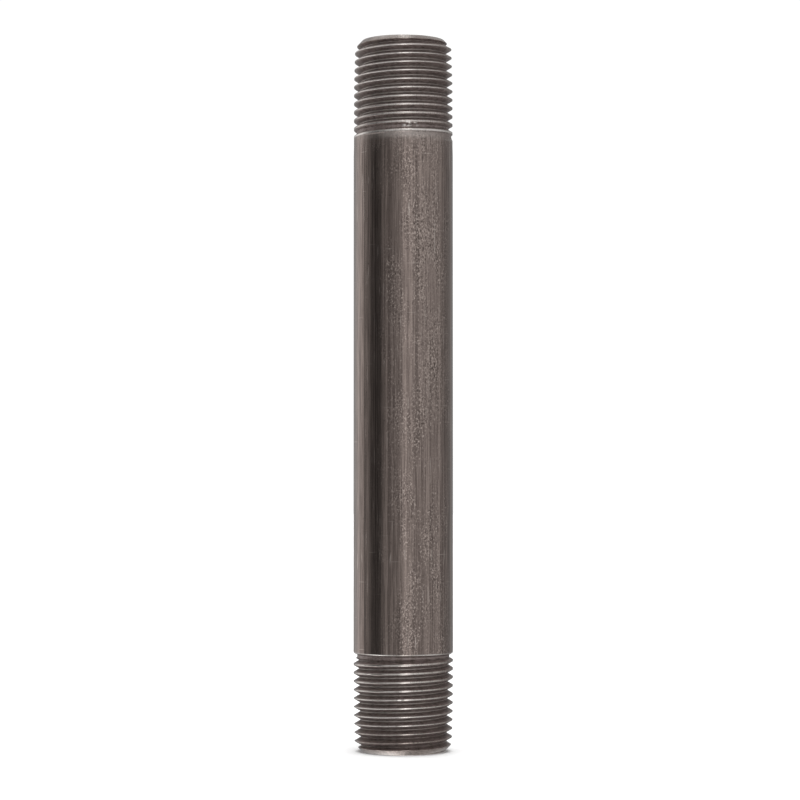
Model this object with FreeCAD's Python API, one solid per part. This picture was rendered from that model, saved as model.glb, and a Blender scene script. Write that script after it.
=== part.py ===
import FreeCAD
import Part

import math
import os

# A pipe nipple: one straight length of steel pipe, with a right-hand tapered pipe thread
# on each end, a plain barrel between the threads and a bore right through.
# Millimetres. The origin is the centre of the lower end face, and +Z runs along the axis
# to the upper end. The front of the nipple is its -Y side.

INCH = 25.4

# The pipe: half-inch size in the standard wall, cut six inches long
nipple_length = 6.0 * INCH
pipe_outer_diameter = 0.840 * INCH
pipe_wall = 0.109 * INCH

# The tapered thread, of the same form on both ends
thread_pitch = INCH / 14
thread_taper = 1 / 16           # growth of the diameter per length along the axis
flank_angle = 30.0              # each flank, from square to the axis, in degrees
crest_truncation = 0.10         # how much of the sharp V is missing at the crests
root_truncation = 0.06          # how much of the sharp V is missing at the roots
drop_pitches = 1.1              # the pitch diameter at the end face is less than the pipe's by
drop_pitches_per_inch = 0.05    # this many pitches, and this many more for each inch of diameter
crest_shave = 0.05              # how far under the barrel the last crests lie where they meet it
crest_blend = 0.9               # length past the thread over which that shave runs out

# The upper thread fades out: its roots rise slowly to the outside of the pipe
upper_full_thread = 18.3        # from the end face to where the roots begin to rise
upper_run_out = 3.6             # over which they rise
upper_thread_turn = 99.0        # about the axis, in degrees

# The lower thread stops short at a shoulder, where the die left a shallow ring
lower_full_thread = 19.9
lower_run_out = 1.2
lower_thread_turn = 203.0
stop_ring_width = 1.5           # from the shoulder back over the thread, at the outside
stop_ring_depth = 0.8           # below the outside of the pipe

# The ends: an outer bevel that clears the first thread, and a light chamfer in the bore
bevel_angle = 43.0              # from the axis, in degrees
bevel_below_root = 0.06         # how far the end face stays inside the thread's root
bore_chamfer = 0.3

# Allowances for the cutting shapes, which must pass through the surfaces they cut
cutter_overshoot = 0.04         # of the groove past the crests, less than crest_truncation
lead_in_turns = 1.2             # turns that the groove starts outside the end face
lead_out_turns = 1.0            # turns that the groove runs on past the end of the run-out
run_out_lead = 1.0              # how far inside the root the run-out cone starts

# Sizes that follow from those above
pipe_radius = pipe_outer_diameter / 2
bore_radius = pipe_radius - pipe_wall
flank_slope = math.tan(math.radians(flank_angle))
taper_slope = thread_taper / 2                          # growth of the radius
sharp_height = thread_pitch / (2 * flank_slope)         # of the whole V, not truncated
drop_at_end = (drop_pitches + drop_pitches_per_inch * pipe_outer_diameter / INCH) * thread_pitch
pitch_diameter_at_end = pipe_outer_diameter - drop_at_end
apex_radius = pitch_diameter_at_end / 2 - sharp_height / 2
root_radius = apex_radius + root_truncation
crest_radius = apex_radius + sharp_height - crest_truncation
end_face_radius = root_radius - bevel_below_root
lower_thread_end = lower_full_thread + lower_run_out
upper_thread_end = upper_full_thread + upper_run_out


def revolve(outline):
    """Turn a closed outline of (radius, height) points about the axis."""
    points = [FreeCAD.Vector(radius, 0, height) for radius, height in outline]
    wire = Part.makePolygon(points + points[:1])
    axis = FreeCAD.Vector(0, 0, 1)
    return Part.Face(wire).revolve(FreeCAD.Vector(0, 0, 0), axis, 360)


def blank_end_outline(thread_end):
    """The outside of one end of the blank, from the bore's edge up to the barrel."""
    bevel_slope = math.tan(math.radians(bevel_angle))
    bevel_height = (crest_radius - end_face_radius) / (bevel_slope - taper_slope)
    cone_end = (pipe_radius - crest_shave - crest_radius) / taper_slope
    return [
        (bore_radius, bore_chamfer),
        (bore_radius + bore_chamfer, 0),
        (end_face_radius, 0),
        (crest_radius + bevel_height * taper_slope, bevel_height),
        (pipe_radius - crest_shave, cone_end),
        (pipe_radius, thread_end + crest_blend),
    ]


def blank():
    """The pipe before threading: bored, bevelled, and turned to a cone under each thread."""
    lower = blank_end_outline(lower_thread_end)
    upper = blank_end_outline(upper_thread_end)
    upper = [(radius, nipple_length - height) for radius, height in reversed(upper)]
    return revolve(lower + upper)


def groove_section(start_height):
    """The groove between two crests, in the plane that holds the axis, where it starts."""
    shift = start_height * taper_slope
    bottom = root_radius + shift
    top = crest_radius + shift + cutter_overshoot
    half_bottom = root_truncation * flank_slope
    half_top = (top - apex_radius - shift) * flank_slope
    corners = [
        FreeCAD.Vector(bottom, 0, start_height - half_bottom),
        FreeCAD.Vector(top, 0, start_height - half_top),
        FreeCAD.Vector(top, 0, start_height + half_top),
        FreeCAD.Vector(bottom, 0, start_height + half_bottom),
    ]
    return Part.makePolygon(corners + corners[:1])


def groove(thread_end):
    """The whole groove of one thread at full depth, wound about the axis from the end face."""
    start_height = -lead_in_turns * thread_pitch
    run = thread_end + lead_out_turns * thread_pitch - start_height
    start_radius = root_radius + start_height * taper_slope
    cone_angle = math.degrees(math.atan(taper_slope))
    helix = Part.makeLongHelix(thread_pitch, run, start_radius, cone_angle)
    helix.translate(FreeCAD.Vector(0, 0, start_height))
    sweep = Part.BRepOffsetAPI.MakePipeShell(Part.Wire(helix.Edges))
    sweep.setBiNormalMode(FreeCAD.Vector(0, 0, 1))
    sweep.add(groove_section(start_height))
    sweep.build()
    sweep.makeSolid()
    return sweep.shape()


def run_out_core(full_thread, run_out):
    """What the groove leaves standing as it fades: a cone from the roots up to the barrel."""
    root_at_rise = root_radius + full_thread * taper_slope
    slope = (pipe_radius - root_at_rise) / run_out
    bottom = full_thread - run_out_lead
    top = full_thread + run_out + (lead_out_turns + 1) * thread_pitch
    bottom_radius = root_at_rise - run_out_lead * slope
    top_radius = pipe_radius + (top - full_thread - run_out) * slope
    return revolve([(0, bottom), (bottom_radius, bottom), (top_radius, top), (0, top)])


def thread_cut(full_thread, run_out, turn):
    """All that one thread takes away, at the lower end of the pipe."""
    cut = groove(full_thread + run_out).cut(run_out_core(full_thread, run_out))
    cut.rotate(FreeCAD.Vector(0, 0, 0), FreeCAD.Vector(0, 0, 1), turn)
    return cut


def end_for_end(cut):
    """A cut for the lower end moved to the upper end. Turned over, it stays right-hand."""
    cut.rotate(FreeCAD.Vector(0, 0, nipple_length / 2), FreeCAD.Vector(1, 0, 0), 180)
    return cut


def stop_ring():
    """The shallow ring at the lower shoulder, with sides at the thread's flank angle."""
    floor_radius = pipe_radius - stop_ring_depth
    outside = pipe_radius + cutter_overshoot
    inset = (outside - floor_radius) * flank_slope
    return revolve([
        (outside, lower_thread_end - stop_ring_width),
        (floor_radius, lower_thread_end - stop_ring_width + inset),
        (floor_radius, lower_thread_end - inset),
        (outside, lower_thread_end),
    ])


def pipe_nipple():
    """The finished nipple, one solid."""
    nipple = blank()
    nipple = nipple.cut(thread_cut(lower_full_thread, lower_run_out, lower_thread_turn))
    nipple = nipple.cut(stop_ring())
    upper_cut = end_for_end(thread_cut(upper_full_thread, upper_run_out, upper_thread_turn))
    return nipple.cut(upper_cut)


os.makedirs("parts", exist_ok=True)
part = pipe_nipple()
part.exportStep("parts/pipe_nipple.step")
box = part.optimalBoundingBox(True, False)
print("size", round(box.XLength, 3), round(box.YLength, 3), round(box.ZLength, 3))
print("solids", len(part.Solids), "volume", round(part.Volume, 1), "valid", part.isValid())
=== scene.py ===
# %% [markdown]
# # A threaded pipe nipple in dark steel
# A nipple is a short length of pipe with a tapered thread on each end. It is one piece of
# metal, so there is one thing to model, and the work goes into the thread and the steel.
# The packed CAD model is loaded first. It gives the exact size and place, in metres.

# %% Load the frame
import math
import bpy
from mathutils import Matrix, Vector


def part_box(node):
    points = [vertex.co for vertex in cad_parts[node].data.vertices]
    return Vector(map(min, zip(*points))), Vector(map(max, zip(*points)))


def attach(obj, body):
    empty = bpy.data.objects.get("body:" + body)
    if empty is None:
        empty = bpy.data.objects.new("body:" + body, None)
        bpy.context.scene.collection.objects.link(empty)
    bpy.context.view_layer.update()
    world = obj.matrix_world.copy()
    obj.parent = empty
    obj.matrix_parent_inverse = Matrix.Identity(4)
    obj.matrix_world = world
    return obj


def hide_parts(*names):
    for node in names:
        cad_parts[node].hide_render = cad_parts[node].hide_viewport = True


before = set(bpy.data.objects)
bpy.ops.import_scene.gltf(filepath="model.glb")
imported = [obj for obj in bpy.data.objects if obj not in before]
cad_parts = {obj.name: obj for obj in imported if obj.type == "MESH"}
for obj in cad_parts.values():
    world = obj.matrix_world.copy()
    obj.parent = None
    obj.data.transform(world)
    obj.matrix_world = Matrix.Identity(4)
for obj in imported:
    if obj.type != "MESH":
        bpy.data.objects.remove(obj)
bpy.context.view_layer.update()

from types import SimpleNamespace

import bmesh
import bpy
import numpy as np
from mathutils import Vector

low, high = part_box("pipe_nipple")
print("CAD size in mm:", [round(1000 * (b - a), 3) for a, b in zip(low, high)])

# %% [markdown]
# ## The sizes of the thread
# A tapered pipe thread is a 60 degree V groove, wound on a cone that widens by one part in
# sixteen. The sizes are those of the CAD part, so the detailed skin lies where the CAD solid
# does. Only the barrel's radius is 8 microns less, which keeps the skin inside the CAD box.
# Everything is in millimetres until the mesh is made, because small round numbers are easier
# to read.

# %% Sizes in millimetres
LENGTH = 152.4
PIPE_RADIUS = 10.66
BORE_RADIUS = 7.8994
BORE_CHAMFER = 0.3
PITCH = 25.4 / 14
TAPER = 1 / 32                      # growth of the radius per length
FLANK = math.tan(math.radians(30))  # half the V's width per depth
APEX_RADIUS = 8.8464                # of the sharp V, at the end face
ROOT_FLAT = 0.06                    # how much of the V is filled at its bottom
CREST_RADIUS = 10.3177              # at the end face
CREST_SHAVE = 0.05                  # how far the last crests lie under the barrel
END_FACE_RADIUS = 8.8464
BEVEL_SLOPE = math.tan(math.radians(43))
BLEND = 0.9                         # past the thread, where the shave runs out
LEAD_TURNS = 1.2                    # turns of the groove that lie outside the end face
print("depth of the thread in mm:", round(CREST_RADIUS - APEX_RADIUS - ROOT_FLAT, 3))

# %% [markdown]
# ## Two different ends
# The die was backed off slowly at the upper end, so that thread fades out. At the lower end
# it stopped short at a shoulder. Each end is one small record of where its roots begin to
# rise, over what length they rise, and how the thread is turned about the axis. Everything
# after this takes an end and a distance from that end's face.

# %% The two ends
LOWER = SimpleNamespace(full=19.9, run_out=1.2, turn=203.0, upper=False)
UPPER = SimpleNamespace(full=18.3, run_out=3.6, turn=99.0, upper=True)
for end in (LOWER, UPPER):
    end.stop = end.full + end.run_out
    end.root_at_rise = APEX_RADIUS + ROOT_FLAT + end.full * TAPER
    end.rise = (PIPE_RADIUS - end.root_at_rise) / end.run_out
    print("upper" if end.upper else "lower", "thread ends", round(end.stop, 1), "mm from its face")

# %% [markdown]
# ## The surface as one formula
# The thread could be a curve with a profile swept along it, or a Screw modifier. Both leave
# the run-out, where the groove rises to the surface, to be patched by hand. Here the radius
# is worked out for any distance from the end face and any angle round the axis, the way a
# die cuts it: the lowest of the bevelled blank, the V groove and the shallow ring.

# %% The blank
def blank_radius(d, end):
    """The bevel, the crest cone and the start of the barrel, d from the end face."""
    bevel = END_FACE_RADIUS + d * BEVEL_SLOPE
    last_crest = PIPE_RADIUS - CREST_SHAVE
    cone_end = (last_crest - CREST_RADIUS) / TAPER
    blended = np.clip((d - cone_end) / (end.stop + BLEND - cone_end), 0, 1)
    cone = np.minimum(CREST_RADIUS + d * TAPER, last_crest) + CREST_SHAVE * blended
    return np.minimum(bevel, cone)


print("blank at 1 mm:", round(float(blank_radius(1.0, LOWER)), 3))

# %% [markdown]
# The groove is one V wound about the axis. For any point, rounding finds the turn of the
# groove that is nearest, and the flank's height there is the distance from the middle of
# that turn divided by the flank's slope. Where the thread fades out, the bottom rises until
# it reaches the outside and nothing is cut any more.

# %% The groove
def from_groove(d, own_angle, end):
    """Distance along the axis from the middle of the nearest turn of the groove."""
    turns = d / PITCH + LEAD_TURNS - (own_angle - end.turn) / 360
    return np.abs(turns - np.round(turns)) * PITCH


def root_radius(d, end):
    """The bottom of the groove, which rises to the outside over the run-out."""
    tapered = APEX_RADIUS + ROOT_FLAT + d * TAPER
    return np.maximum(tapered, end.root_at_rise + (d - end.full) * end.rise)


def groove_radius(d, own_angle, end):
    """The V groove, with its flat bottom."""
    flanks = APEX_RADIUS + d * TAPER + from_groove(d, own_angle, end) / FLANK
    return np.maximum(flanks, root_radius(d, end))


print("groove bottom at 10 mm:", round(float(root_radius(10.0, LOWER)), 3))

# %% [markdown]
# ## The shoulder of the lower thread
# Where the die stopped, its first teeth left a shallow ring with sloping sides. The edge of
# the barrel above it is turned over into a narrow bright chamfer, which catches the light as
# a fine line all the way round. Both are cuts, so they are radii like the groove's.

# %% Ring and shoulder
RING_WIDTH = 1.5        # from the shoulder back over the thread, at the outside
RING_DEPTH = 0.8
RING_OVERSHOOT = 0.04   # how far outside the pipe the ring's sides start
CHAMFER_PAST = 0.1      # the chamfer meets the barrel this far past the shoulder
CHAMFER_REACH = 0.4     # and is cut no further than this from it
UNCUT = 99.0            # a radius that takes nothing away


def ring_radius(d, end):
    """The shallow ring and the chamfered shoulder. The upper end has neither."""
    if end.upper:
        return np.full_like(d, UNCUT)
    side = np.minimum(d - (end.stop - RING_WIDTH), end.stop - d) / FLANK
    floor = np.maximum(PIPE_RADIUS - RING_DEPTH, PIPE_RADIUS + RING_OVERSHOOT - side)
    cut = np.where(side > 0, floor, UNCUT)
    chamfer = PIPE_RADIUS - (end.stop + CHAMFER_PAST - d) * FLANK
    return np.where(np.abs(d - end.stop) < CHAMFER_REACH, np.minimum(cut, chamfer), cut)


def outside_radius(d, own_angle, end):
    """The outside of a clean thread."""
    cut = np.minimum(groove_radius(d, own_angle, end), ring_radius(d, end))
    return np.minimum(blank_radius(d, end), cut)


print("ring floor:", round(PIPE_RADIUS - RING_DEPTH, 2), "mm from the axis")

# %% [markdown]
# ## Nicks
# A real thread isn't perfect: crests carry nicks where the pipe knocked against others. Each
# is a shallow oval dent, placed by a seeded generator so that every run gives the same pipe.
# A nick only takes metal away, so the mesh never grows past the CAD box.

# %% Nicks
dice = np.random.default_rng(417)
NICK_FLOOR = APEX_RADIUS + 0.9      # metal under this radius is left alone
NICKS, DEEPEST_NICK = 70, 0.16      # for each end


def nick_list(count, start, stop, depth):
    """Rows of distance, angle, half length along, half width in degrees, depth."""
    return np.column_stack([
        dice.uniform(start, stop, count),
        dice.uniform(0, 360, count),
        dice.uniform(0.12, 0.5, count),
        dice.uniform(0.8, 4.0, count),
        dice.uniform(0.25, 1.0, count) ** 2 * depth,
    ])


def oval(d, angle, at, turn, along, around):
    """1 in the middle of an oval mark on the skin, falling to 0 at its edge."""
    away = np.abs((angle - turn + 180) % 360 - 180) / around
    return np.clip(1 - ((d - at) / along) ** 2 - away ** 2, 0, 1)


def nicked(radius, d, angle, end):
    """Lower the crests at each nick."""
    for at, turn, along, around, depth in end.nicks:
        dent = depth * oval(d, angle, at, turn, along, around)
        radius = np.where(radius > NICK_FLOOR, radius - dent, radius)
    return radius


LOWER.nicks = nick_list(NICKS, 0.3, 20.5, DEEPEST_NICK)
UPPER.nicks = nick_list(NICKS, 0.3, 21.0, DEEPEST_NICK)
print("nicks:", len(LOWER.nicks) + len(UPPER.nicks))

# %% [markdown]
# ## Crumbs of swarf
# The die tears small chips from the last turns, and some stay pressed into the last groove of
# the upper end, most of them at the front. They add metal, so they are kept no higher than
# the crests. Each has a distance, an angle, a half length along and a half width in degrees.

# %% Crumbs
CRUMB_HEIGHT = 0.35
FRONT_CRUMBS, OTHER_CRUMBS = 9, 5
CRUMBS = FRONT_CRUMBS + OTHER_CRUMBS
crumbs = np.column_stack([
    dice.uniform(18.8, 19.5, CRUMBS),
    np.concatenate([dice.uniform(-6, 18, FRONT_CRUMBS), dice.uniform(80, 300, OTHER_CRUMBS)]),
    dice.uniform(0.14, 0.26, CRUMBS),
    dice.uniform(1.0, 2.6, CRUMBS),
])


def crumb_cover(d, angle):
    """1 in the middle of each crumb, 0 between them."""
    cover = np.zeros(np.broadcast(d, angle).shape)
    for crumb in crumbs:
        cover = np.maximum(cover, oval(d, angle, *crumb))
    return cover


print("crumbs:", len(crumbs))

# %% [markdown]
# ## Angles and heights
# An angle on the skin is measured from the front of the pipe, -Y, towards +X, so the front is
# at 0. The CAD part measures from +X, so the thread's own angle is 90 degrees less. The upper
# end is the lower one turned over, so there angles run backwards and distances run down.

# %% From the skin to the thread
def end_angle(angle, end):
    """An angle from the front, as the thread's formula takes it."""
    from_x = angle - 90
    return -from_x if end.upper else from_x


def turned_over(height, end):
    """A height as a distance from the end's face, and also the other way round."""
    return LENGTH - height if end.upper else height


def end_radius(d, angle, end):
    """The outside of one end, with its nicks and crumbs."""
    radius = nicked(outside_radius(d, end_angle(angle, end), end), d, angle, end)
    if end.upper:
        radius = np.minimum(radius + CRUMB_HEIGHT * crumb_cover(d, angle), PIPE_RADIUS - CREST_SHAVE)
    return radius


print("front of the upper face:", np.round(end_radius(np.zeros(1), np.zeros(1), UPPER), 3))

# %% [markdown]
# ## Points and faces
# The skin is gathered as plain lists of points and faces, because a few hundred thousand
# loop steps in Python are slow in bmesh. Every level ring is made once and shared by the
# stretch below it and the one above, so the finished mesh is closed.

# %% Rings
COLUMNS = 192
ANGLES = np.arange(COLUMNS) * 360 / COLUMNS
OUTSIDE, BORE = 0.0, 1.0
points = []      # arrays of x, y, z in millimetres
marks = []       # arrays of height, angle, radius, region
faces = []


def add_points(radius, z, angle, region):
    """Add points on the skin and return their numbers."""
    radius, z, angle = np.broadcast_arrays(radius, z, angle)
    a = np.radians(angle)
    first = sum(len(made) for made in points)
    x, y = radius * np.sin(a), -radius * np.cos(a)
    points.append(np.column_stack([x.ravel(), y.ravel(), z.ravel()]))
    region = np.full(z.size, region)
    marks.append(np.column_stack([z.ravel(), angle.ravel(), radius.ravel(), region]))
    return first + np.arange(z.size).reshape(z.shape)


def add_ring(radius, z, region=OUTSIDE):
    """A level ring, whose radius may change from column to column."""
    return add_points(radius, z, ANGLES, region)


def join(one, other):
    """Faces between two rings of point numbers."""
    corners = [one, np.roll(one, -1), np.roll(other, -1), other]
    faces.extend(np.column_stack(corners).tolist())


def join_all(rings):
    """Faces between each ring of a list and the next."""
    for one, other in zip(rings, rings[1:]):
        join(one, other)


print("columns round the pipe:", COLUMNS)

# %% [markdown]
# ## Rows that follow the helix
# A plain grid would cut the crests into steps. So the rows of the threaded stretch climb
# with the thread: each turn has fourteen rows, set on the root, the flanks and the crest,
# and the last column joins the first one fourteen rows higher.

# %% Rows of one turn
SPREAD = (0, 0.12, 0.35, 0.65, 0.88, 1)     # places of the rows on one flank
TURN_ROWS = 2 * len(SPREAD) + 2
WIDEST_FLOOR = 0.42                         # half the groove's floor, in pitches
LEAST_CREST = 0.03                          # half the crest, in millimetres
LEAST_FLANK = 0.02
PAST_BEVEL = 2                              # from here on the blank is a plain cone


def floor_half(root, end):
    """Half the width of the groove's floor, which widens as the groove runs out."""
    floor = root_radius(root, end) - APEX_RADIUS - root * TAPER
    return np.minimum(floor * FLANK, PITCH * WIDEST_FLOOR)


def crest_half(crest, end):
    """Half the width of a crest, where the blank cuts the top off the sharp V."""
    sharp = APEX_RADIUS + crest * TAPER + PITCH / 2 / FLANK
    blank = blank_radius(np.maximum(crest, PAST_BEVEL), end)
    return np.clip((sharp - blank) * FLANK, LEAST_CREST, PITCH / 3)


def turn_rows(root, end):
    """The rows from one root up to the next one, as distances from the end face."""
    crest, after = root + PITCH / 2, root + PITCH
    half = crest_half(crest, end)
    up_to, down_from = crest - half, crest + half
    up_from = np.minimum(root + floor_half(root, end), up_to - LEAST_FLANK)
    down_to = np.maximum(after - floor_half(after, end), down_from + LEAST_FLANK)
    up = [up_from + (up_to - up_from) * part for part in SPREAD]
    down = [down_from + (down_to - down_from) * part for part in SPREAD]
    return [root] + up + [crest] + down


print("rows in one turn:", TURN_ROWS)

# %% [markdown]
# At both ends of the threaded stretch the rows are pressed flat against a level ring. Faces
# that lose their height there are left out, and those that lose a corner become triangles.

# %% The helical sheet
PRESSED = 0.012     # rows this close to a level ring become part of it


def helix_rows(end, start, stop, own_angle):
    """All helical rows that touch the stretch from start to stop, one array for each row."""
    lead = (own_angle - end.turn) / 360 - LEAD_TURNS
    first = math.floor(start / PITCH - lead[0]) - 2
    last = math.ceil(stop / PITCH - lead[0]) + 2
    rows = []
    for turn in range(first, last):
        rows += turn_rows(PITCH * (turn + lead), end)
    return np.array(rows)


def sheet_faces(index):
    """Faces between rows of point numbers. The last column meets the first one turn on."""
    after = np.column_stack([index[:, 1:], np.roll(index[:, 0], -TURN_ROWS)])
    below, above = slice(None, -TURN_ROWS - 1), slice(1, -TURN_ROWS)
    corners = [index[below], after[below], after[above], index[above]]
    for quad in np.stack(corners, axis=-1).reshape(-1, 4).tolist():
        kept = [v for i, v in enumerate(quad) if v != quad[i - 1]]
        if len(set(kept)) > 2:
            faces.append(kept)


def helix_sheet(end, start, stop, near, far):
    """The helical rows between two level rings. Returns how many there are."""
    order = np.arange(COLUMNS)
    if end.upper:
        order = order[::-1]
    d = helix_rows(end, start, stop, end_angle(ANGLES, end)[order])
    on_near, on_far = d <= start + PRESSED, d >= stop - PRESSED
    free = ~(on_near | on_far)
    angle = np.broadcast_to(ANGLES[order], d.shape)[free]
    index = np.full(d.shape, -1)
    index[on_near] = np.broadcast_to(near[order], d.shape)[on_near]
    index[on_far] = np.broadcast_to(far[order], d.shape)[on_far]
    z = turned_over(d[free], end)
    index[free] = add_points(end_radius(d[free], angle, end), z, angle, OUTSIDE)
    sheet_faces(index)
    return len(d)


sample = helix_rows(LOWER, 5, 15, end_angle(ANGLES, LOWER))
print("rows that touch 10 mm of thread:", len(sample))

# %% [markdown]
# ## The threaded ends
# Level rings carry the bevel, where the thread starts, and at the lower end the shallow ring
# and the shoulder. The helical rows lie between them.

# %% Both threaded ends
HELIX_FROM = 1.68           # the first helical row, past the bevel
HELIX_CLEAR_OF_STOP = 1.55  # the last one at the lower end, just short of the ring
BEVEL_ROWS = 26
SHOULDER_ROWS = 34


def level_rows(start, stop, rows, end):
    """Level rings between two distances from the end face."""
    made = []
    for d in np.linspace(start, stop, rows):
        d = np.full(COLUMNS, d)
        made.append(add_ring(end_radius(d, ANGLES, end), turned_over(d, end)))
    return made


def threaded_end(end):
    """The skin from the end face to the barrel. Returns its first and last ring."""
    barrel_from = end.stop + BLEND
    helix_to = barrel_from if end.upper else end.stop - HELIX_CLEAR_OF_STOP
    near = level_rows(0, HELIX_FROM, BEVEL_ROWS, end)
    far = level_rows(helix_to, barrel_from, 1 if end.upper else SHOULDER_ROWS, end)
    join_all(near)
    join_all(far)
    rows = helix_sheet(end, HELIX_FROM, helix_to, near[-1], far[0])
    print("upper" if end.upper else "lower", "end:", rows, "helical rows")
    return near[0], far[-1]


lower_face, lower_barrel = threaded_end(LOWER)
upper_face, upper_barrel = threaded_end(UPPER)

# %% [markdown]
# ## The barrel, the end faces and the bore
# The barrel is plain between the threads. Two rings would be enough for its shape, but their
# faces would be very long and thin, which shades badly. So it gets some fifty.

# %% Barrel
lower_top = LOWER.stop + BLEND
upper_top = LENGTH - UPPER.stop - BLEND
BARREL_ROWS = 50
barrel = [add_ring(PIPE_RADIUS, z) for z in np.linspace(lower_top, upper_top, BARREL_ROWS)[1:-1]]
join_all([lower_barrel, *barrel, upper_barrel])
print("barrel in mm:", round(upper_top - lower_top, 1))

# %% [markdown]
# The bore is a plain tube with a small chamfer at each end, and an end face is a single band
# of faces from the bevel's first ring to the edge of that chamfer. The rings are listed from
# the bottom up and joined from the top down, because a bore is skin seen from the inside.

# %% End faces and bore
BORE_ROWS = 12
bore = [add_ring(BORE_RADIUS + BORE_CHAMFER, 0.0, BORE)]
for z in np.linspace(BORE_CHAMFER, LENGTH - BORE_CHAMFER, BORE_ROWS):
    bore.append(add_ring(BORE_RADIUS, z, BORE))
bore.append(add_ring(BORE_RADIUS + BORE_CHAMFER, LENGTH, BORE))
join_all([upper_face, *reversed(bore), lower_face])
print("points", sum(len(made) for made in points), "faces", len(faces))

# %% [markdown]
# ## The mesh
# All points go into Blender in one call. Its own tool then turns every face outwards, and a
# count of the edges that don't have exactly two faces shows whether the skin is closed.
# Smooth shading rounds the crests and roots, while edges sharper than 75 degrees stay sharp.

# %% Mesh
mesh = bpy.data.meshes.new("nipple_skin")
mesh.from_pydata((np.concatenate(points) / 1000).tolist(), [], faces)
print("bad mesh data mended:", mesh.validate())
nipple = bpy.data.objects.new("nipple_skin", mesh)
bpy.context.scene.collection.objects.link(nipple)

skin = bmesh.new()
skin.from_mesh(mesh)
bmesh.ops.recalc_face_normals(skin, faces=skin.faces)
if skin.calc_volume(signed=True) < 0:
    bmesh.ops.reverse_faces(skin, faces=skin.faces)
print("open edges", sum(len(edge.link_faces) != 2 for edge in skin.edges))
print("volume in mm3", round(skin.calc_volume(signed=True) * 1e9, 1))
skin.to_mesh(mesh)
skin.free()
mesh.shade_smooth()
mesh.set_sharp_from_angle(angle=math.radians(75))
print("triangles", sum(len(face.vertices) - 2 for face in mesh.polygons))

# %% [markdown]
# ## Numbers for the painter
# The finish of the steel depends on where it is: crests and corners are rubbed bright and carry
# painted highlights, the flanks are darker, partly painted shade in the groove, and the bore keeps
# its dull scale. A shader can't easily tell a crest from a flank, but the mesh builder knows. So
# three numbers are stored on each point, which the material reads back as attributes. The first
# is wear together with painted highlights, and it starts with the thread: a bright line along each
# crest, rubbed steel with a painted highlight, and a fainter painted highlight along each root,
# both painted stronger on the front and the back than on the sides, where the light falls.

# %% Wear and painted highlights on the thread
CREST_LINE = 0.14       # half widths of the bright lines
ROOT_LINE = 0.09
FULL_SHINE_DEPTH = 0.5  # grooves shallower than this have fainter lines


def bell(x, half_width):
    """1 at 0, fading away over the half width."""
    return np.exp(-(x / half_width) ** 2)


def growing(d, start, length, least=0):
    """Grows to 1 over a length from start, and is nowhere under least."""
    return np.clip((d - start) / length, least, 1)


def wave(angle, turns, middle, swing):
    """A strength that rises and falls a whole number of times round the pipe."""
    return middle + swing * np.cos(np.radians(turns * angle))


def thread_wear(d, angle, end):
    """Bright lines on the crests, rubbed steel with a painted highlight, and painted highlights on
    the roots.
    """
    off = from_groove(d, end_angle(angle, end), end)
    lines = bell(PITCH / 2 - off, CREST_LINE) + 0.7 * bell(off, ROOT_LINE) * (d < end.full)
    depth = blank_radius(d, end) - root_radius(d, end)
    # The wave paints the lines stronger on the front and the back, as highlights where the light
    # falls.
    return lines * growing(depth, 0, FULL_SHINE_DEPTH) * wave(angle + 15, 2, 0.62, 0.38)


print("wear half way down a crest line:", round(float(bell(CREST_LINE / 2, CREST_LINE)), 2))

# %% [markdown]
# Each end then has its own marks, and both carry the painted highlights of the thread. The lower
# thread is duller near the floor, and its shoulder is a bright line, rubbed steel with a painted
# glint that is stronger in six places round it. On the upper one the last crests are rubbed wider,
# the barrel just past them is scuffed, and the crumbs shine. On both ends the bevel is bright in
# patches.

# %% Wear and painted highlights on each end
LAST_CRESTS = 19.0                              # from here on they are rubbed wider
SCUFFED_BELT = 21.2                             # its middle, both from the upper face
RING_FROM = LOWER.stop - RING_WIDTH + 0.05      # the ring has no bright lines


def lower_wear(d, angle):
    """The lower thread and its shoulder, with their painted highlights."""
    thread = thread_wear(d, angle, LOWER) * growing(d, 2.6, 4.5, least=0.15)
    thread = np.where(d > RING_FROM, 0, thread)
    # The shoulder's bright line is rubbed steel with a painted glint, stronger in six places round
    # the pipe.
    shoulder_wear_and_glint = wave(angle + 28, 6, 0.68, 0.32) * bell(d - LOWER.stop, CREST_LINE)
    return np.maximum(thread, shoulder_wear_and_glint)


def upper_wear(d, angle):
    """The upper thread with its painted highlights, its last crests, the scuffed barrel past them
    and the crumbs.
    """
    thread = thread_wear(d, angle, UPPER) * growing(d, 1.2, 0.6, least=0.3)
    late = growing(d, LAST_CRESTS, 0.5) * growing(UPPER.stop + 0.2 - d, 0, 0.8)
    off = from_groove(d, end_angle(angle, UPPER), UPPER)
    last_crests = late * bell(PITCH / 2 - off, 0.20)
    scuffed = 0.22 * wave(angle, 1, 0, 1) ** 2 * bell(d - SCUFFED_BELT, 0.9)
    return np.maximum.reduce([thread, last_crests, scuffed, crumb_cover(d, angle)])


def bevel_wear(d, angle, radius, end):
    """Bright patches on the bevel, where the blank is uncut, and a bright rim."""
    uncut = np.clip(1 - (blank_radius(d, end) - radius) / 0.12, 0, 1)
    patchy = wave(angle + 28, 4, 0.62, 0.38)
    if end.upper:
        patchy = 0.7 + 0.3 * wave(angle - 10, 3, 0, 1) * wave(angle, 7, 0, 1)
    return np.maximum(0.5 * uncut * patchy * bell(d, 0.9), 0.6 * bell(d, 0.1))


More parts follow.
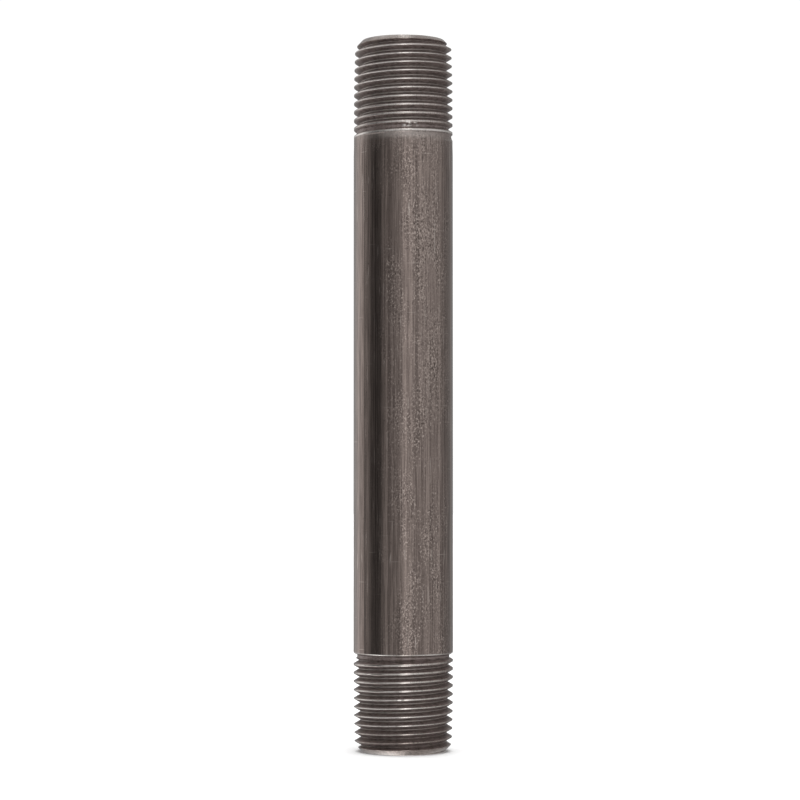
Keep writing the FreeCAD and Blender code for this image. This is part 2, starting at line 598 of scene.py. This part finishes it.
def skin_wear(z, angle, radius):
    """Wear and painted highlights from 0 to 1 all over the outside. The barrel between the threads
    has neither.
    """
    wear = np.zeros_like(z)
    for end, thread, reach in ((LOWER, lower_wear, 0.6), (UPPER, upper_wear, 2.5)):
        d = turned_over(z, end)
        rubbed_and_highlight = np.maximum(thread(d, angle), bevel_wear(d, angle, radius, end))
        wear = np.where(d < end.stop + reach, np.maximum(wear, rubbed_and_highlight), wear)
    return wear


print("wear on the front of the shoulder:", round(float(lower_wear(LOWER.stop, 0)), 2))

# %% [markdown]
# The second number is how deep a point lies in the groove, and the third is 1 in the bore and
# fades out over the bore's chamfer. The three are stored as plain floats on the points.

# %% Store the numbers
GROOVE_FULL = 0.4       # depth at which a point counts as wholly in the groove
CHAMFER_FADE = 0.25
z, angle, radius, region = np.concatenate(marks).T
blank = np.where(z < LENGTH / 2, blank_radius(z, LOWER), blank_radius(LENGTH - z, UPPER))
numbers = {
    # The first number is wear together with the painted highlights of crests, roots and shoulder.
    "wear": skin_wear(z, angle, radius) * (region == OUTSIDE),
    "groove": np.clip((blank - radius) / GROOVE_FULL, 0, 1) * (region == OUTSIDE),
    "inside": np.clip((BORE_RADIUS + CHAMFER_FADE - radius) / CHAMFER_FADE, 0, 1) * region,
}
for name, value in numbers.items():
    layer = mesh.attributes.new(name, "FLOAT", "POINT")
    layer.data.foreach_set("value", value.astype(np.float32))
    print(name, "mean", round(float(value.mean()), 3), "most", round(float(value.max()), 3))

# %% [markdown]
# ## Unrolling the skin
# A pipe unrolls like a label from a tin. The outside takes two thirds of the square and the
# bore the rest. The threaded stretches get about twice the height that their length asks
# for, because their surface folds in and out. Each end face, which is level, is laid out as
# a short continuation of the bore.

# %% Heights on the map
THREAD_STRETCH = 1.1    # extra height for each millimetre of thread
FACE_STRETCH = 4        # height for each millimetre across an end face


def outside_height(z):
    """Height on the map from 0 to 1, with more room for the threads."""
    lower_extra = THREAD_STRETCH * np.minimum(z, lower_top)
    upper_extra = THREAD_STRETCH * np.maximum(z - upper_top, 0)
    total = LENGTH + THREAD_STRETCH * (lower_top + LENGTH - upper_top)
    return (z + lower_extra + upper_extra) / total


def bore_height(z, radius):
    """Height on the map from 0 to 1, from the outer rim of one end face to the other."""
    across_face = FACE_STRETCH * (END_FACE_RADIUS - radius)
    total = LENGTH + 2 * FACE_STRETCH * (END_FACE_RADIUS - BORE_RADIUS)
    upper = total - (LENGTH - z) - across_face
    return np.where(z < LENGTH / 2, z + across_face, upper) / total


print("middle of the barrel on the map:", round(float(outside_height(LENGTH / 2)), 3))

# %% [markdown]
# Faces on the seam have corners at almost a full turn and at 0. Their corners at 0 are moved
# to a full turn, so that nothing is squeezed back across the map. A face belongs to the bore
# if any of its corners does.

# %% UV map
OUTSIDE_LEFT, OUTSIDE_WIDTH = 0.01, 0.66
BORE_LEFT, BORE_WIDTH = 0.69, 0.30
corner = np.zeros(len(mesh.loops), np.int32)
mesh.loops.foreach_get("vertex_index", corner)
sides = np.zeros(len(mesh.polygons), np.int32)
mesh.polygons.foreach_get("loop_total", sides)
face_of = np.repeat(np.arange(len(sides)), sides)


def most_on_face(value):
    """For each corner, the largest value on its face."""
    most = np.zeros(len(sides))
    np.maximum.at(most, face_of, value)
    return most[face_of]


around = angle[corner]
on_seam = (most_on_face(around) > 300) & (around < 100)
around = np.where(on_seam, around + 360, around) / 360
in_bore = most_on_face(region[corner]) > 0
across = np.where(in_bore, BORE_LEFT + BORE_WIDTH * around, OUTSIDE_LEFT + OUTSIDE_WIDTH * around)
bore_up = 0.01 + 0.98 * bore_height(z, radius)[corner]
outside_up = 0.005 + 0.99 * outside_height(z)[corner]
up = np.where(in_bore, bore_up, outside_up)
layer = mesh.uv_layers.new(name="OFBake")
layer.data.foreach_set("uv", np.column_stack([across, up]).astype(np.float32).ravel())
print("map across", across.min().round(3), "to", across.max().round(3))
print("map up", up.min().round(3), "to", up.max().round(3))

# %% [markdown]
# ## The piece and its body
# The skin takes the place of the CAD solid. A nipple has no moving parts, so it rides on the
# part's root.

# %% Place of the piece
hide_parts("pipe_nipple")
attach(nipple, "root")
print("piece:", nipple.name)

# %% [markdown]
# ## Shader sums in Python
# Node trees with dozens of small nodes are hard to read. This class wraps a node's output,
# so that `1 - mask * 0.4` makes the Math nodes by itself. Anything that isn't plain
# arithmetic comes from `node`, which sets the node up and then fills its sockets. Colours
# are only ever mixed, because a Math node would turn them grey.

# %% A wire that can be added and multiplied
class Wire:
    """One output of a shader node."""

    def __init__(self, tree, socket=None):
        self.tree = tree
        self.socket = socket

    def node(self, kind, settings=None, sockets=None, out=0):
        """Any node: its type, its settings, then the values or wires of its sockets."""
        made = self.tree.nodes.new("ShaderNode" + kind)
        settings = dict(settings or {})
        ramp_stops = settings.pop("stops", [])
        for name, value in settings.items():
            setattr(made, name, value)
        for i, (at, level) in enumerate(ramp_stops):
            elements = made.color_ramp.elements
            stop = elements[i] if i < 2 else elements.new(at)
            stop.position = at
            stop.color = (level, level, level, 1)
        for name, value in (sockets or {}).items():
            if isinstance(value, Wire):
                self.tree.links.new(value.socket, made.inputs[name])
            else:
                made.inputs[name].default_value = value
        return Wire(self.tree, made.outputs[out] if made.outputs else None)

    def math(self, operation, *others):
        """A Math node that takes this wire first and the others after it."""
        return self.node("Math", {"operation": operation}, dict(enumerate((self, *others))))

    def __add__(self, other):
        return self.math("ADD", other)

    def __sub__(self, other):
        return self.math("SUBTRACT", other)

    def __rsub__(self, other):
        return self.node("Math", {"operation": "SUBTRACT"}, {0: other, 1: self})

    def __mul__(self, other):
        return self.math("MULTIPLY", other)

    def __truediv__(self, other):
        return self.math("DIVIDE", other)

    __radd__ = __add__
    __rmul__ = __mul__

    def smooth(self, low, high):
        """0 below low, 1 above high, and a soft step between."""
        return self.node("MapRange", {"interpolation_type": "SMOOTHSTEP"},
                         {"Value": self, "From Min": low, "From Max": high})

    def mix(self, first, second):
        """A colour: the first where this wire is 0, the second where it is 1."""
        # this node has sockets of every kind, and its colours are 6 and 7 in and 2 out
        return self.node("Mix", {"data_type": "RGBA"}, {0: self, 6: first, 7: second}, out=2)

    def axis(self, name):
        """One number of a place or a direction."""
        return self.node("SeparateXYZ", None, {"Vector": self}, out=name)

    def stretch(self, x, y, z):
        """A place, with each of its axes multiplied."""
        return self.node("VectorMath", {"operation": "MULTIPLY"}, {0: self, 1: (x, y, z)})

    def noise(self, scale, detail, roughness):
        """Soft random levels round one half, from 0 to 1."""
        return self.node("TexNoise", None,
                         {"Vector": self, "Scale": scale, "Detail": detail, "Roughness": roughness})


print("a wire can also:", [name for name in vars(Wire) if not name.startswith("_")])

# %% [markdown]
# ## Where on the pipe
# A place on the object comes in metres, so it is scaled to millimetres first. The grain then
# has its true size on every side of the pipe. The bearing is the angle round the axis from
# the front, in radians, for marks that belong to one side only.

# %% Place and bearing
steel = bpy.data.materials.new("dark_steel")
steel.use_nodes = True
mesh.materials.append(steel)
paint = Wire(steel.node_tree)
on_object = paint.node("TexCoord", out="Object")
place = paint.node("VectorMath", {"operation": "SCALE"}, {0: on_object, "Scale": 1000.0})
bearing = place.axis("X").math("ARCTAN2", 0 - place.axis("Y"))
print("nodes so far:", len(steel.node_tree.nodes))

# %% [markdown]
# ## Drawn steel
# Pipe is drawn and rolled along its length, which leaves hair-fine lines from end to end.
# An image of brushed metal would repeat and need a seam. Noise stretched along the pipe's
# axis gives lines that never repeat: one noise for lines of full length, one for short ones
# and one for broad bands.

# %% Drawn lines
full_lines = place.stretch(1, 1, 0.0015).noise(2.6, 4, 0.72)
short_lines = place.stretch(1, 1, 0.03).noise(4.2, 3, 0.62)
wide_bands = place.stretch(1, 1, 0.01).noise(0.75, 2, 0.5)
lines = full_lines * 0.45 + short_lines * 0.35 + wide_bands * 0.2
DARK_LINE, PALE_LINE = (0.165, 0.131, 0.118, 1), (0.395, 0.321, 0.290, 1)
colour = lines.smooth(0.40, 0.60).mix(DARK_LINE, PALE_LINE)
print("nodes so far:", len(steel.node_tree.nodes))

# %% [markdown]
# ## Pitting
# Where mill scale came off, the steel is finely pitted. The pits gather in patches, and they
# are on two opposite sides of the pipe, while the sides between them stay smooth. So a fine
# grain is multiplied by slow patches and by a wave that goes round the pipe twice. What is
# above its middle is painted paler, and what is below it darker.

# %% Grain in patches
PITTED_SIDE = math.radians(22)      # the bearing of the most pitted side
grain = place.stretch(1, 1, 0.6).noise(3.4, 3, 0.7)
patches = place.stretch(1, 1, 0.3).noise(0.2, 3, 0.6).smooth(0.30, 0.72)
pitted = (bearing * 2 - 2 * PITTED_SIDE).math("COSINE") * 0.5 + 0.5
speckle = (grain - 0.5) * (patches * 0.85 + 0.2) * pitted
PALE_SPECK, DARK_SPECK = (0.60, 0.505, 0.458, 1), (0.10, 0.08, 0.071, 1)
colour = speckle.smooth(0.01, 0.12).mix(colour, PALE_SPECK)
colour = (0 - speckle).smooth(0.015, 0.13).mix(colour, DARK_SPECK)
print("nodes so far:", len(steel.node_tree.nodes))

# %% [markdown]
# ## Scratches and pits
# Handling leaves thin pale scratches, most of them along the pipe, a few short ones across
# it. Each comes from a noise stretched one way, of which only the highest peaks are kept: a
# peak of a stretched noise is a dash. Deeper pits are dark, so they come from the peaks of a
# noise that is hardly stretched.

# %% Scratches and pits
along = place.stretch(1, 1, 0.03).noise(4.5, 1, 0.4).smooth(0.71, 0.79)
across_pipe = place.stretch(0.14, 0.14, 2.8).noise(1.3, 1, 0.4).smooth(0.74, 0.80)
scratches = along.math("MAXIMUM", across_pipe * 0.45)
pits = place.stretch(1, 1, 0.8).noise(2.1, 2, 0.6).smooth(0.66, 0.74)
SCRATCH, PIT = (0.70, 0.62, 0.57, 1), (0.05, 0.04, 0.035, 1)
colour = (scratches * 0.8).mix(colour, SCRATCH)
colour = (pits * 0.5).mix(colour, PIT)
print("nodes so far:", len(steel.node_tree.nodes))

# %% [markdown]
# One dark line is painted the whole length of the barrel, left of the front, at the bearing where
# the narrow dark gap between the screens is reflected: a painted reflection. It lies at one bearing,
# so it needs no noise at all.

# %% The painted reflection of the dark gap
REFLECTED_GAP_BEARING = math.radians(-50.6)
beside_reflected_gap = (bearing - REFLECTED_GAP_BEARING).math("ABSOLUTE")
painted_gap_reflection = 1 - beside_reflected_gap.smooth(0.006, 0.014)
# This paints the reflection of the dark gap between the screens into the colour.
colour = (painted_gap_reflection * 0.75).mix(colour, (0.06, 0.048, 0.042, 1))
print("nodes so far:", len(steel.node_tree.nodes))

# %% [markdown]
# ## Thread flanks and painted shade in the groove
# Inside the groove the metal was cut, not drawn, and cutting oil has darkened it; its colour is also
# kept darker than the barrel's by depth, which paints the shade that falls in the groove. Its fine
# lines run round the pipe, so this noise is stretched square to the axis. Pale smears and
# dark pits break it up. The groove number from the mesh, which grows with depth, decides how much of
# it shows.

# %% Flanks with painted shade
groove = paint.node("Attribute", {"attribute_name": "groove"}, out="Fac")
turnings = place.stretch(0.25, 0.25, 1).noise(5.0, 3, 0.7)
smears = place.stretch(1, 1, 0.3).noise(1.1, 3, 0.65).smooth(0.35, 0.68)
# The flank colours are darker than the barrel's, partly a painted shade for the groove.
DARK_FLANK, PALE_FLANK = (0.152, 0.120, 0.112, 1), (0.285, 0.232, 0.218, 1)
flank_with_painted_shade = turnings.smooth(0.38, 0.62).mix(DARK_FLANK, PALE_FLANK)
flank_with_painted_shade = (smears * 0.5).mix(flank_with_painted_shade, (0.38, 0.317, 0.296, 1))
flank_with_painted_shade = (pits * 0.7).mix(flank_with_painted_shade, PIT)
colour = groove.mix(colour, flank_with_painted_shade)
print("nodes so far:", len(steel.node_tree.nodes))

# %% [markdown]
# ## Rubbed edges, painted highlights and the bore
# Crests, shoulder and end faces are rubbed down to bright steel, and the same bright colour paints
# highlights on the crests, the roots and the shoulder. The wear number, which carries both, says
# where, and two noises break the bright lines into uneven lengths, as no edge wears evenly. The
# bore keeps its dull, dark scale. Rubbed steel is all metal, oil makes the groove less so,
# and scale is less than half metal.

# %% Rubbed steel, painted highlights and scale
wear = paint.node("Attribute", {"attribute_name": "wear"}, out="Fac")
inside = paint.node("Attribute", {"attribute_name": "inside"}, out="Fac")
breaks = place.stretch(1, 1, 2).noise(1.2, 2, 0.6).smooth(0.30, 0.50) * 0.35 + 0.65
rubbed_and_highlight = wear * grain.smooth(0.22, 0.42) * breaks
BRIGHT_STEEL, SCALE = (0.97, 0.93, 0.89, 1), (0.075, 0.06, 0.052, 1)
# Rubbed steel and painted highlights share this bright colour.
colour = rubbed_and_highlight.mix(colour, BRIGHT_STEEL)
colour = inside.mix(colour, SCALE)
metal = 1 - groove * 0.25 * (1 - wear) - inside * 0.6
print("nodes so far:", len(steel.node_tree.nodes))

# %% [markdown]
# ## Gloss and relief
# The drawn barrel is nearly a mirror. The cut groove and the scaled bore are duller, and so
# is the upper stretch of the barrel, which has been handled most. The same lines, grain,
# pits and scratches that colour the steel also feed a Bump node, which shades the surface as
# if it rose and fell by a few microns. They are far too fine to model.

# %% Roughness and bump
HANDLED_FROM, HANDLED_MOST = 116, 133       # heights in millimetres
handled = place.axis("Z").smooth(HANDLED_FROM, HANDLED_MOST) * (1 - groove)
roughness = 0.15 + patches * 0.04 + groove * 0.24 + inside * 0.35 + handled * 0.10
raised = (grain - 0.5) * (patches * 0.8 + 0.3) * pitted
height = full_lines * 0.5 + short_lines * 0.35 + raised - pits * 0.6 - scratches * 0.5
RELIEF = 0.00002    # metres
relief = paint.node("Bump", None, {"Strength": 0.2, "Distance": RELIEF, "Height": height})
shader = steel.node_tree.nodes["Principled BSDF"]
finish = {"Base Color": colour, "Roughness": roughness, "Metallic": metal, "Normal": relief}
for name, wire in finish.items():
    steel.node_tree.links.new(wire.socket, shader.inputs[name])
print("steel nodes:", len(steel.node_tree.nodes))

# %% [markdown]
# ## Floor
# The nipple stands on plain pale paper. The paper is hidden from mirror rays, because a
# bright floor would wash out the lower half of a pipe that is nearly a mirror.

# %% Floor
FLOOR_RADIUS = 3        # metres
FLOOR_CORNERS = 64
turns = np.linspace(0, 2 * math.pi, FLOOR_CORNERS, endpoint=False)
rim = [(FLOOR_RADIUS * math.cos(turn), FLOOR_RADIUS * math.sin(turn), 0) for turn in turns]
floor_mesh = bpy.data.meshes.new("floor")
floor_mesh.from_pydata(rim, [], [list(range(FLOOR_CORNERS))])
floor = bpy.data.objects.new("floor", floor_mesh)
bpy.context.scene.collection.objects.link(floor)
floor.visible_glossy = False
paper = bpy.data.materials.new("floor_paper")
paper.use_nodes = True
paper_shader = paper.node_tree.nodes["Principled BSDF"]
paper_shader.inputs["Base Color"].default_value = (0.93, 0.93, 0.93, 1)
paper_shader.inputs["Roughness"].default_value = 0.9
floor_mesh.materials.append(paper)
print("floor:", 2 * FLOOR_RADIUS, "m across")

# %% [markdown]
# ## Studio light
# A polished pipe shows its surroundings as upright stripes. In the studio these are tall
# white screens and black flags. Here they are painted on the sky by compass direction, in
# degrees from the camera, positive to the right: the brightest screen behind the pipe on the
# left, a black gap in front of it, a broad soft screen from the front round to the right,
# and a grey gap beyond. A colour ramp holds the whole round in its 32 stops, which is the
# most that it can have, and it makes a soft edge between each stop and the next.

# %% Screens round the pipe
world = bpy.data.worlds.new("studio")
bpy.context.scene.world = world
world.use_nodes = True
world.node_tree.nodes.clear()
sky = Wire(world.node_tree)
direction = sky.node("TexCoord", out="Generated")
compass = direction.axis("X").math("ARCTAN2", 0 - direction.axis("Y")) / (2 * math.pi) + 0.5


def share(degrees):
    """A direction as a share of the whole round, with the camera's at one half."""
    return degrees / 360 + 0.5


SCREENS = [
    (-168, 0.34), (-155, 0.46), (-140, 0.70), (-130, 0.88), (-122, 0.98), (-115, 0.80),
    (-106, 0.92), (-103, 0.66), (-101, 0.24), (-98.5, 0.26), (-96, 0.50), (-90, 0.29),
    (-80, 0.16), (-70, 0.10), (-58, 0.09), (-52, 0.18), (-47, 0.30), (-35, 0.42),
    (-20, 0.40), (-9, 0.45), (-5, 0.56), (0, 0.72), (6, 0.86), (12, 0.74), (25, 0.64),
    (60, 0.57), (76, 0.52), (89, 0.60), (98, 0.42), (138, 0.34), (152, 0.38), (168, 0.32),
]
stops = [(share(at), level) for at, level in SCREENS]
screens = sky.node("ValToRGB", {"stops": stops}, {0: compass})
print("stops on the ramp:", len(stops))

# %% [markdown]
# ## Light from above and below
# Thread flanks lean up and down, so they show what is overhead and what is near the floor.
# Both are a fainter copy of the screens with an even light added, and with lamps at the
# front and behind the pipe, which put a glint on the middle of each crest. Below, a patch on
# the left stands for the lit table top. The levels are plain numbers, so Math nodes are fine.

# %% Overhead, underneath and lamps
def past(start, full):
    """0 before one direction and 1 past the other, both in degrees."""
    return compass.smooth(share(start), share(full))


up_down = direction.axis("Z")
above = up_down.smooth(0.3, 0.85)
below = (0 - up_down).smooth(0.3, 0.85)
front = past(-12.6, -1.8) * (1 - past(9, 28.8))
behind = 1 - past(-176.4, -165.6) + past(147.6, 169.2)
table = past(-129.6, -108) * (1 - past(-79.2, -57.6))
lamps = behind * 1.1 + front * 1.5
light = above.mix(screens, screens * 0.4 + 0.40 + lamps)
light = below.mix(light, screens * 0.4 + 0.36 + lamps + table * 0.9)
print("sky nodes:", len(world.node_tree.nodes))

# %% [markdown]
# The camera itself sees plain white where it looks past the pipe, and everything else gets
# the painted studio. A Mix Shader chooses by the kind of ray.

# %% White for the camera
studio = sky.node("Background", None, {"Color": light, "Strength": 1.0})
white = sky.node("Background", None, {"Color": (1, 1, 1, 1), "Strength": 1.05})
camera_ray = sky.node("LightPath", out="Is Camera Ray")
both = sky.node("MixShader", None, {0: camera_ray, 1: studio, 2: white})
sky.node("OutputWorld", None, {"Surface": both})
print("sky nodes:", len(world.node_tree.nodes))

# %% [markdown]
# ## Soft light from overhead
# A very wide sun whitens the paper and lays a faint soft shadow round the foot of the pipe.
# It is hidden from mirror rays too, or it would show as a bright spot on the metal. The view
# is set to Standard, so that white paper comes out white.

# %% Overhead light
overhead = bpy.data.lights.new("overhead", "SUN")
overhead.energy = 2.6
overhead.angle = math.radians(60)
sun = bpy.data.objects.new("overhead", overhead)
sun.visible_glossy = False
bpy.context.scene.collection.objects.link(sun)
bpy.context.scene.view_settings.view_transform = "Standard"
print("sun strength:", overhead.energy)

# %% [markdown]
# ## Camera
# The camera stands about half a metre away, a little below the middle of the pipe, and is
# tilted up. Its long lens keeps the sides of the pipe nearly parallel.

# %% Camera
EYE = Vector((-0.0007, -0.545, 0.060))
AIM = Vector((-0.0007, 0, 0.0751))
camera_data = bpy.data.cameras.new("camera")
camera_data.lens = 114.3
camera = bpy.data.objects.new("camera", camera_data)
camera.location = EYE
camera.rotation_mode = "QUATERNION"
camera.rotation_quaternion = (AIM - EYE).to_track_quat("-Z", "Y")
bpy.context.scene.collection.objects.link(camera)
bpy.context.scene.camera = camera
print("camera is", round((AIM - EYE).length, 3), "m from the pipe")
